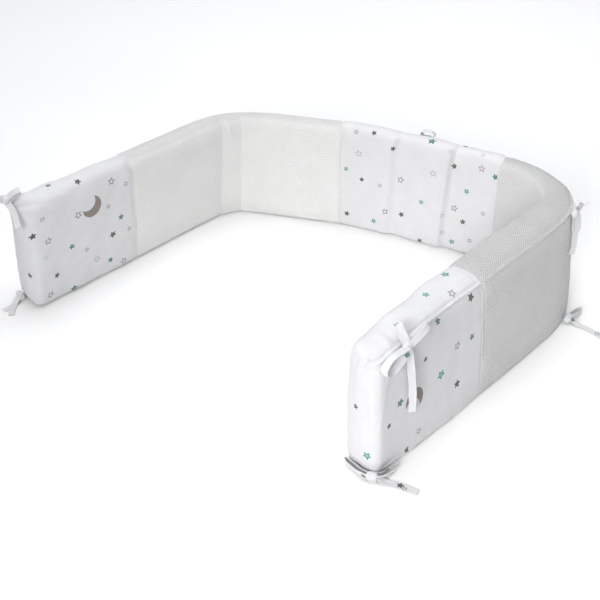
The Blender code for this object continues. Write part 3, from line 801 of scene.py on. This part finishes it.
def makeCotton():
    shader = Shader("printedCotton")
    u, v = shader.place("clothPlace")
    x, y = shader.place("motifPlace")
    fill = shader.node("ShaderNodeAttribute", {"attribute_name": "motifFill"})
    line = shader.node("ShaderNodeAttribute", {"attribute_name": "motifLine"})
    isMoon = Term(shader, line.outputs["Alpha"])
    star = starDistance(x, y, cotton["starNotch"])
    moon = moonDistance(x, y, cotton["moonBite"])
    outside = star * (1 - isMoon) + moon * isMoon
    width = cotton["lineWidth"] * (1 - isMoon * cotton["moonLine"])
    edge = cotton["motifEdge"]
    inked = outside.between(edge, -edge)
    inner = (outside + width).between(edge, -edge)
    lineMask = (inked - inner).math("MAXIMUM", 0.0)
    fillMask = inner * Term(shader, fill.outputs["Alpha"])
    blotch = shader.noise(*cotton["shading"])
    color = shader.mix(blotch.between(*cotton["shadingRange"]), cotton["deep"], cotton["light"])
    color = shader.mix(fillMask, color, fill.outputs["Color"])
    color = shader.mix(lineMask, color, line.outputs["Color"])
    weave = crossing(u, v, cotton["thread"]) * 0.5 + 0.5
    slub = shader.noise(*cotton["slub"])
    rough = weave * cotton["weaveRoughness"] + cotton["roughness"]
    height = weave * cotton["height"][0] + slub * cotton["height"][1]
    return shader.finish(color, rough, height, cotton["depth"], cotton["sheen"])


airmesh = {
    "pitch": (0.0066, 0.0057),      # of the rows of holes, along the pad and up it
    "holeRadius": 0.34,     # share of the pitch
    "soft": 0.13,
    "knitPitch": 0.0011,
    "knitHeight": 0.05,     # share of the depth
    "knitRoughness": 0.04,
    "roughness": 0.74,
    "depth": 0.0010,
    "sheen": 0.10,
    "shading": (16.0, 2.0, 0.5),    # cells a metre, detail, roughness
    "shadingRange": (0.30, 0.70),
    "shadingDepth": 0.955,
    "left": ((0.915, 0.915, 0.909, 1.0), (0.785, 0.781, 0.770, 1.0)),     # yarn, and the holes' colour with painted shade
    # the right section's mesh: partly a darker mesh, partly painted shade, in its yarn and more in its
    # holes
    "right": ((0.792, 0.789, 0.792, 1.0), (0.545, 0.542, 0.544, 1.0)),
    "paintedTopShade": 0.82,      # painted shade on the mesh where it lies level, on the tops
    "paintedTopShadeRange": (0.45, 0.95),    # of how level the cloth lies, over which the painted shade sets in
}


def makeAirmesh(name, yarn, paintedHoleShade):
    # knitted spacer cloth: rows of round holes that run on the slant, coloured darker as painted shade
    # inside them
    shader = Shader(name)
    u, v = shader.place("clothPlace")
    across, upward = u / airmesh["pitch"][0], v / airmesh["pitch"][1]
    a = (across + upward).math("FRACT") - 0.5
    b = (across - upward).math("FRACT") - 0.5
    away = (a * a + b * b).math("SQRT")
    radius, soft = airmesh["holeRadius"], airmesh["soft"]
    wall = away.between(radius - soft, radius + soft)
    blotch = shader.noise(*airmesh["shading"])
    yarnDeep = tuple(value * airmesh["shadingDepth"] for value in yarn[:3]) + (1.0,)
    color = shader.mix(blotch.between(*airmesh["shadingRange"]), yarnDeep, yarn)
    # painted shade: the holes take their darker colour
    color = shader.mix(wall, paintedHoleShade, color)
    # painted shade: the mesh is darkened where its surface faces up
    surface = shader.node("ShaderNodeNewGeometry")
    split = shader.node("ShaderNodeSeparateXYZ", sockets={0: surface.outputs["Normal"]})
    level = Term(shader, split.outputs[2]).between(*airmesh["paintedTopShadeRange"])
    paintedTopShadeColor = (airmesh["paintedTopShade"],) * 3 + (1.0,)
    color = shader.multiply(color, shader.mix(level, white, paintedTopShadeColor))
    knit = crossing(u, v, airmesh["knitPitch"])
    rough = knit * airmesh["knitRoughness"] + airmesh["roughness"]
    height = wall + knit * airmesh["knitHeight"]
    return shader.finish(color, rough, height, airmesh["depth"], airmesh["sheen"])


cottonCloth = makeCotton()
meshCloth = {
    "mesh_left": makeAirmesh("airmeshLeft", *airmesh["left"]),
    # the right mesh's material carries painted shade as well as its own darker colour
    "mesh_right": makeAirmesh("airmeshRightWithPaintedShade", *airmesh["right"]),
}
print("finishes made")


stitchLines = []


def buildSections():
    made = []
    ends = seamRows[1:] + [len(stations) - 1]
    for order, (name, row, after) in enumerate(zip(sectionRows, seamRows, ends)):
        isPrint = name.startswith("print")
        cloth = buildSection(name, row, after, relief["seed"] + order)
        piece = makePiece(name, name + "_cloth", cloth, cottonCloth if isPrint else meshCloth[name])
        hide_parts(name, name + "_outer")
        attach(piece, "root")
        made.append(piece)
        stitchLines.extend(cloth.stitchLines)
        print("section", name, len(cloth.faces), "faces")
    return made


sections = buildSections()


stitchNodes = {
    "given": "NodeGroupInput",
    "toCurve": "GeometryNodeMeshToCurve",
    "toPoints": "GeometryNodeCurveToPoints",
    "bead": "GeometryNodeMeshUVSphere",
    "shape": "ShaderNodeCombineXYZ",
    "stretch": "GeometryNodeTransform",
    "place": "GeometryNodeInstanceOnPoints",
    "realize": "GeometryNodeRealizeInstances",
    "paint": "GeometryNodeSetMaterial",
    "result": "NodeGroupOutput",
}
stitchLinks = [    # from node, output, to node, input
    ("given", "Geometry", "toCurve", "Mesh"),
    ("toCurve", "Curve", "toPoints", "Curve"),
    ("given", "Pitch", "toPoints", "Length"),
    ("given", "Thickness", "shape", "X"),
    ("given", "Thickness", "shape", "Y"),
    ("given", "Length", "shape", "Z"),
    ("bead", "Mesh", "stretch", "Geometry"),
    ("shape", "Vector", "stretch", "Scale"),
    ("toPoints", "Points", "place", "Points"),
    ("toPoints", "Rotation", "place", "Rotation"),
    ("stretch", "Geometry", "place", "Instance"),
    ("place", "Instances", "realize", "Geometry"),
    ("realize", "Geometry", "paint", "Geometry"),
    ("paint", "Geometry", "result", "Geometry"),
]


def stitchTree(thread):
    # stitches along the curve that the tree is given
    tree = bpy.data.node_groups.new("stitchRun", "GeometryNodeTree")
    tree.interface.new_socket("Geometry", in_out="INPUT", socket_type="NodeSocketGeometry")
    sizes = {}
    for label in ("Pitch", "Length", "Thickness"):
        sizes[label] = tree.interface.new_socket(label, in_out="INPUT", socket_type="NodeSocketFloat")
    tree.interface.new_socket("Geometry", in_out="OUTPUT", socket_type="NodeSocketGeometry")
    nodes = {name: tree.nodes.new(kind) for name, kind in stitchNodes.items()}
    nodes["toPoints"].mode = "LENGTH"
    segments = sewing["segments"]
    for label, value in (("Segments", segments), ("Rings", segments - 2), ("Radius", 0.5)):
        nodes["bead"].inputs[label].default_value = value
    nodes["paint"].inputs["Material"].default_value = thread
    for source, output, target, entry in stitchLinks:
        tree.links.new(nodes[source].outputs[output], nodes[target].inputs[entry])
    return tree, sizes


def makeThread():
    shader = Shader("sewingThread")
    fleck = shader.noise(*sewing["fleck"])
    color = shader.mix(fleck.between(*sewing["fleckRange"]), sewing["shade"], sewing["color"])
    return shader.finish(color, sewing["roughness"], fleck, sewing["depth"], sewing["sheen"])


def sewStitches():
    points, edges = [], []
    for line in stitchLines:
        first = len(points)
        points.extend(line.tolist())
        edges.extend((first + k, first + k + 1) for k in range(len(line) - 1))
    guide = bpy.data.meshes.new("stitchGuide")
    guide.from_pydata(points, edges, [])
    source = addObject("stitchGuide", guide)
    tree, sizes = stitchTree(makeThread())
    run = source.modifiers.new("stitchRun", "NODES")
    run.node_group = tree
    for label, value in (("Pitch", "pitch"), ("Length", "length"), ("Thickness", "thickness")):
        run[sizes[label].identifier] = sewing[value]
    graph = bpy.context.evaluated_depsgraph_get()
    mesh = bpy.data.meshes.new_from_object(source.evaluated_get(graph), depsgraph=graph)
    source.modifiers.remove(run)
    mesh.name = "seam_stitches"
    piece = addObject("seam_stitches", mesh)
    bpy.data.objects.remove(source)
    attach(piece, "root")
    print("stitches", len(mesh.polygons), "faces")


sewStitches()


# tied tapes
tie = {
    "width": 0.014,
    "thick": 0.0016,
    "knot": (0.0122, 0.0072, 0.0100),    # half sizes along the pad, out from it and up
    "knotClear": 0.0098,
    "knotHold": (0.002, 0.008),          # the strands stay put this near the knot's middle
    "gather": 0.55,                      # width share inside the knot
    "floorDrop": (0.006, 0.030),
    "floorClear": 0.0006,
    "padClear": 0.0009,
    "strandApart": 0.0024,
    "belly": 0.65,
    "stagger": 0.0011,
    "loopPoints": 44,
    "tailPoints": 34,
    "layRounds": 10,
    "layReach": 4,          # points to either side over which a strap's shift is evened out
    "bow": (0.00040, 0.4),               # how far the tape bows across its width, and its middle
    "wobble": (0.3, 0.030, 5, 0.035),    # step from strap to strap, length, seed, width share
    "bend": (0.7, 0.018, 25),
    "rootOrder": 9,
    "rootShares": (0.0, 0.25, 0.5, 0.75, 1.0),
}
knot = {
    "rows": 17,
    "turns": 28,
    "blunt": (0.6, 0.55),       # powers that fill out its length and its girth
    "pleats": (0.05, 2.4),      # height, and waves over half its length
    "slant": (0.18, 0.6),
    "length": 0.86,
    "clothStep": 0.002,
}
# half of the tape's cross-section: shares of half its width and half its thickness
tapeHalf = [(1.00, 0.0), (0.96, 0.62), (0.86, 1.0), (0.70, 0.82), (0.35, 0.92), (0.0, 0.90)]
# run, up, turn, slide, what it lies on; then kind, heading, tilt, length and spread in mm, edgewise, spin
bows = {
    "left_end_top": ((0.004, 1.030, 80, -0.009, "wall"), [
        ("loop", 120, -50, 36, 12, False, 0),
        ("loop", 345, 15, 20, 10, False, 0),
        ("tail", 205, 0, 74, 6, False, -50),
    ]),
    "left_end_foot": ((0.004, 0.034, 90, -0.018, "floor"), [
        ("tail", 107, 0, 50, 4, False, 0),
        ("tail", 133, 0, 60, -6, False, 0),
    ]),
    "left_corner_top": ((0.600, 0.880, 0, 0.0, "wall"), [
        ("loop", 212, 8, 38, 14, True, 0),
        ("loop", 332, 8, 36, 14, True, 0),
        ("tail", 255, 5, 100, 8, False, 0),
        ("tail", 290, 5, 85, -6, False, 0),
    ]),
    "left_corner_foot": ((0.600, 0.034, 0, 0.0, "floor"), [
        ("loop", 160, 0, 38, 14, True, 0),
        ("tail", 73, 0, 95, 10, False, 0),
        ("tail", 31, 0, 80, -8, False, 0),
    ]),
    "back_top": ((1.036, 0.915, 0, 0.0, "wall"), [
        ("loop", 90, 0, 21, 44, True, 0),
        ("loop", 200, 10, 36, 14, True, 0),
        ("tail", 280, 5, 95, 8, False, 0),
        ("tail", 245, 5, 80, -8, False, 0),
    ]),
    "back_foot": ((1.036, 0.034, 0, 0.0, "floor"), [
        ("loop", 25, 0, 36, 14, True, 0),
        ("tail", 110, 0, 90, 10, False, 0),
        ("tail", 150, 0, 80, -8, False, 0),
    ]),
    "right_corner_top": ((1.468, 0.965, 0, 0.0, "wall"), [
        ("loop", 105, 10, 24, 20, True, -40),
        ("tail", 118, 38, 34, 4, False, 15),
        ("loop", 275, 2, 42, 10, False, 35),
        ("tail", 280, -3, 90, 6, False, 35),
    ]),
    "right_corner_foot": ((1.480, 0.034, 0, 0.0, "floor"), [
        ("loop", 166, 4, 48, 12, True, 0),
        ("tail", 74, 0, 112, 10, False, 0),
    ]),
    "right_end_top": ((2.024, 0.950, 0, 0.0, "wall"), [
        ("loop", 93, -33, 43, 10, False, -35),
        ("loop", 150, 8, 51, 12, False, -25),
        ("loop", 350, 0, 68, 46, True, 0),
        ("tail", 265, 4, 146, 3, False, 40),
    ]),
    "right_end_foot": ((2.086, 0.034, -60, 0.009, "floor"), [
        ("loop", 322, 8, 69, 11, True, -15),
        ("loop", 226, 6, 56, 11, True, 22),
        ("tail", 172, 0, 84, 4, False, 0),
    ]),
}


def skinTree():
    points, faces = [], []
    for piece in sections:
        first = len(points)
        points.extend(vertex.co.copy() for vertex in piece.data.vertices)
        faces.extend([first + index for index in face.vertices] for face in piece.data.polygons)
    return BVHTree.FromPolygons(points, faces)


def clearance(tree, point):
    nearest, normal, _, distance = tree.find_nearest(point)
    return math.copysign(distance, (point - nearest).dot(normal))


def bowFrame(run, up, turn, slide, lies, tree):
    # the knot, the three directions that the straps are set out by, and the way out
    swing = Matrix.Rotation(math.radians(turn), 3, "Z")
    heading = headingAt(run)
    out = swing @ Vector((-heading[1], heading[0], 0.0))
    side = swing @ Vector((heading[0], heading[1], 0.0))
    rise = Vector((0.0, 0.0, 1.0))
    row = max(k for k in range(len(outerRows) - 1) if k == 0 or up <= outerRows[k][1])
    above, below = outerRows[row], outerRows[row + 1]
    share = min(max((above[1] - up) / (above[1] - below[1]), 0.0), 1.0)
    seat = Vector(padPoints(run, above[0] + (below[0] - above[0]) * share, up))
    origin = seat + out * tie["knotClear"] + side * slide
    origin += out * max(tie["knotClear"] - clearance(tree, origin), 0.0)
    if lies == "floor":
        origin.z = tie["knot"][2] + tie["floorClear"]
        return origin, side, out, rise, out
    return origin, side, rise, out, out


def strapPath(kind, length, spread, heading, across, square, edgewise):
    count = tie["loopPoints" if kind == "loop" else "tailPoints"]
    points = []
    for i in range(count):
        share = i / (count - 1)
        arch = math.sin(math.pi * share)
        if kind == "loop":
            opening = math.cos(math.pi * share) * (tie["strandApart"] + tie["belly"] * spread * arch)
            points.append(heading * length * arch + (across if edgewise else square) * opening)
        else:
            points.append(heading * length * share + across * spread * arch)
    return points


def tangentsOf(path):
    last = len(path) - 1
    return [(path[min(i + 1, last)] - path[max(i - 1, 0)]).normalized() for i in range(last + 1)]


def tapeEdges(path, start, wide):
    # from each point of the path to the tape's edge
    edges = []
    for point, tangent in zip(path, tangentsOf(path)):
        held = float(ramp((point - start).length, *tie["knotHold"]))
        square = (wide - tangent * wide.dot(tangent)).normalized()
        edges.append(square * (tie["gather"] + (1 - tie["gather"]) * held) * tie["width"] / 2)
    return edges


def shiftOffPad(tree, point, edge, out):
    clear = tie["thick"] / 2 + tie["padClear"]
    shift = 0.0
    for _ in range(tie["layRounds"]):
        across = [point + out * shift + edge * share for share in (-1, 0, 1)]
        short = clear - min(clearance(tree, place) for place in across)
        if short <= 0.0:
            break
        shift += short
    return shift


def sliding(values, gather):
    # the greatest or the mean of each value and its neighbours
    reach = tie["layReach"]
    wide = np.pad(values, reach, mode="edge")
    return gather([wide[k:k + len(values)] for k in range(2 * reach + 1)], axis=0)


def layPath(tree, kind, start, path, edges, facing, out):
    # lay a strap against the pad or the floor, without a kink
    shifts = np.array([shiftOffPad(tree, point, edge, out) for point, edge in zip(path, edges)])
    if kind == "loop":
        shifts = np.maximum(shifts, shifts[::-1])
    shifts = sliding(sliding(shifts, np.max), np.mean)
    laid = []
    for point, edge, shift in zip(path, edges, shifts):
        away = (point - start).length
        moved = point + out * float(shift) * float(ramp(away, *tie["knotHold"]))
        low = tie["thick"] / 2 + tie["floorClear"] + abs(edge.z)
        sunk = moved.z + (low - moved.z) * facing.z * float(ramp(away, *tie["floorDrop"]))
        laid.append(Vector((moved.x, moved.y, max(sunk, low))))
    return laid


def addStrap(cloth, frameOfBow, tree, strap, order):
    origin, side, rise, facing, out = frameOfBow
    kind, heading, tilt, length, spread, edgewise, spin = strap
    length, spread = length / 1000, spread / 1000
    angle, tilt = math.radians(heading), math.radians(tilt)
    level = side * math.cos(angle) + rise * math.sin(angle)
    heading = level * math.cos(tilt) + facing * math.sin(tilt)
    roll = Matrix.Rotation(math.radians(spin), 3, heading)
    across = roll @ facing.cross(level).normalized()
    square = heading.cross(across).normalized()
    wide = square if edgewise else across
    start = origin + facing * (order - 1) * tie["stagger"]
    path = [start + point for point in strapPath(kind, length, spread, heading, across, square, edgewise)]
    edges = tapeEdges(path, start, wide)
    path = layPath(tree, kind, start, path, edges, facing, out)
    edges = tapeEdges(path, start, wide)
    return addTape(cloth, path, edges, order)


def addTape(cloth, path, edges, order):
    # a soft flat tube along the path: two folded edges and a shallow dent between them
    upper = tapeHalf + [(-share, lift) for share, lift in tapeHalf[-2::-1]]
    profile = np.array(upper + [(share, -lift) for share, lift in upper[-2:0:-1]])
    part, (bow, middle) = f"strap{order}", tie["bow"]
    reach, previous, previousPlaces = 0.0, None, None
    for i, (point, edge, tangent) in enumerate(zip(path, edges, tangentsOf(path))):
        skin = np.array(tangent.cross(edge).normalized())
        if i > 0:
            reach += (point - path[i - 1]).length
        wobble, bend = [
            float(waves(np.array([reach, order * step]), length, seed + order))
            for step, length, seed in (tie["wobble"][:3], tie["bend"])
        ]
        ring = np.array(point) + profile[:, :1] * np.array(edge) * (1 + tie["wobble"][3] * wobble)
        ring = ring + profile[:, 1:] * skin * tie["thick"] / 2
        ring = ring + (profile[:, :1] ** 2 - middle) * skin * bow * (1 + bend)
        first = cloth.addPoints(ring)
        now = list(range(first, first + len(profile)))
        places = edgePlaces([(reach, span) for span in profile[:, 0] * tie["width"] / 2])
        if previous:
            cloth.addBand(previous, now, previousPlaces, places, [part] * len(profile))
        if i in (0, len(path) - 1):
            cloth.addFace(now, places[0], part)
        previous, previousPlaces = now, places
    return reach


def addRoot(cloth, frameOfBow, tree):
    # the short end between the knot and the seam that it is sewn into
    origin = frameOfBow[0]
    nearest = tree.find_nearest(origin)[0]
    reach = nearest - origin
    edge = reach.cross(Vector((0.0, 0.0, 1.0))).normalized() * tie["width"] * tie["gather"] / 2
    path = [origin + reach * share for share in tie["rootShares"]]
    return addTape(cloth, path, [edge] * len(path), tie["rootOrder"])


def buildKnot(frameOfBow, lies):
    # the tape's turn round the others: a soft barrel with two pleats
    origin, side, rise, facing, _ = frameOfBow
    along, out, up = tie["knot"]
    half = np.array((along, up, out) if lies == "wall" else (along, out, up))
    axes = np.array([side, rise, facing])
    cloth = Cloth()
    rows, turns = knot["rows"], knot["turns"]
    (longBlunt, roundBlunt), (pleat, pleatTurns), (slant, slantTurn) = (
        knot["blunt"], knot["pleats"], knot["slant"])
    angles = np.linspace(0, 2 * math.pi, turns, endpoint=False)
    rings = []
    for i in range(1, rows):
        lean = math.pi * i / rows
        length = math.copysign(abs(math.cos(lean)) ** longBlunt, math.cos(lean))
        radius = math.sin(lean) ** roundBlunt * (1 + pleat * math.sin(pleatTurns * math.pi * length))
        shift = slant * np.sin(angles + slantTurn) * (1 - length ** 2)
        ring = [length * knot["length"] + shift, radius * np.cos(angles), radius * np.sin(angles)]
        first = cloth.addPoints(np.array(origin) + (np.stack(ring, axis=1) * half) @ axes)
        places = [(length * half[0], j * knot["clothStep"]) for j in range(turns + 1)]
        rings.append((list(range(first, first + turns)), (places[:-1], places[1:])))
    for (low, lowPlaces), (high, highPlaces) in zip(rings, rings[1:]):
        cloth.addBand(low, high, lowPlaces, highPlaces, ["knot"] * turns)
    for ring, (places, _) in (rings[0], rings[-1]):
        cloth.addFace(ring, [places[0]] * turns, "knot")
    return cloth


def buildBows():
    tree = skinTree()
    for name, (seat, straps) in bows.items():
        frameOfBow = bowFrame(*seat, tree)
        cloth = Cloth()
        total = addRoot(cloth, frameOfBow, tree)
        for order, strap in enumerate(straps):
            total += addStrap(cloth, frameOfBow, tree, strap, order)
        node = "bow_" + name
        tape = makePiece(node, node + "_tape", cloth, cottonCloth)
        knotPiece = makePiece(node, node + "_knot", buildKnot(frameOfBow, seat[4]), cottonCloth)
        for piece in (tape, knotPiece):
            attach(piece, "root")
        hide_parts(node)
        carrier = min(sections, key=lambda piece: nearestGap(piece, frameOfBow[0]))
    print("bows", len(bows))


def nearestGap(piece, point):
    _, place, _, _ = piece.closest_point_on_mesh(point)
    return (place - point).length


buildBows()


floor = {
    "size": 30.0,
    "light": (0.940, 0.940, 0.940, 1.0),
    "deep": (0.928, 0.928, 0.928, 1.0),
    "speckle": (2.0, 2.0),
    "speckleRange": (0.3, 0.7),
    "roughness": 0.9,
    "depth": 0.0001,
    "corners": ((-0.5, -0.5), (0.5, -0.5), (0.5, 0.5), (-0.5, 0.5)),    # shares of the size
}


def layFloor():
    mesh = bpy.data.meshes.new("floor")
    corners = [(x * floor["size"], y * floor["size"], 0) for x, y in floor["corners"]]
    mesh.from_pydata(corners, [], [(0, 1, 2, 3)])
    shader = Shader("paleFloor")
    speckle = shader.noise(*floor["speckle"])
    color = shader.mix(speckle.between(*floor["speckleRange"]), floor["deep"], floor["light"])
    mesh.materials.append(shader.finish(color, floor["roughness"], speckle, floor["depth"], 0.0))
    addObject("floor", mesh)


lamps = [    # name, place, aimed at, size, spread in degrees, power, colour
    ("frontSoftbox", (1.3, -2.8, 1.5), (0.50, 0.20, 0.1), 1.2, 62, 10.2, (1.0, 0.995, 0.985)),
    ("frontFill", (0.9, -3.2, 2.3), (0.1, 0.1, 0.1), 2.2, 180, 9.5, (1.0, 0.995, 0.985)),
    ("topSoftbox", (-0.8, 1.0, 4.6), (-0.2, 0.2, 0.0), 5.0, 180, 240.0, (0.97, 0.98, 1.0)),
]
skyLight = 0.20


def hangLamps():
    for name, place, aim, size, spreadAngle, power, color in lamps:
        light = bpy.data.lights.new(name, "AREA")
        light.shape, light.size, light.energy, light.color = "SQUARE", size, power, color
        light.spread = math.radians(spreadAngle)
        lamp = addObject(name, light)
        lamp.location = place
        lamp.rotation_euler = (Vector(aim) - Vector(place)).to_track_quat("-Z", "Y").to_euler()
    world = bpy.data.worlds.new("studio")
    world.use_nodes = True
    sky = world.node_tree.nodes["Background"]
    sky.inputs["Color"].default_value = white
    sky.inputs["Strength"].default_value = skyLight
    bpy.context.scene.world = world
    bpy.context.scene.view_settings.view_transform = "Standard"


layFloor()
hangLamps()
print("floor and lamps placed")
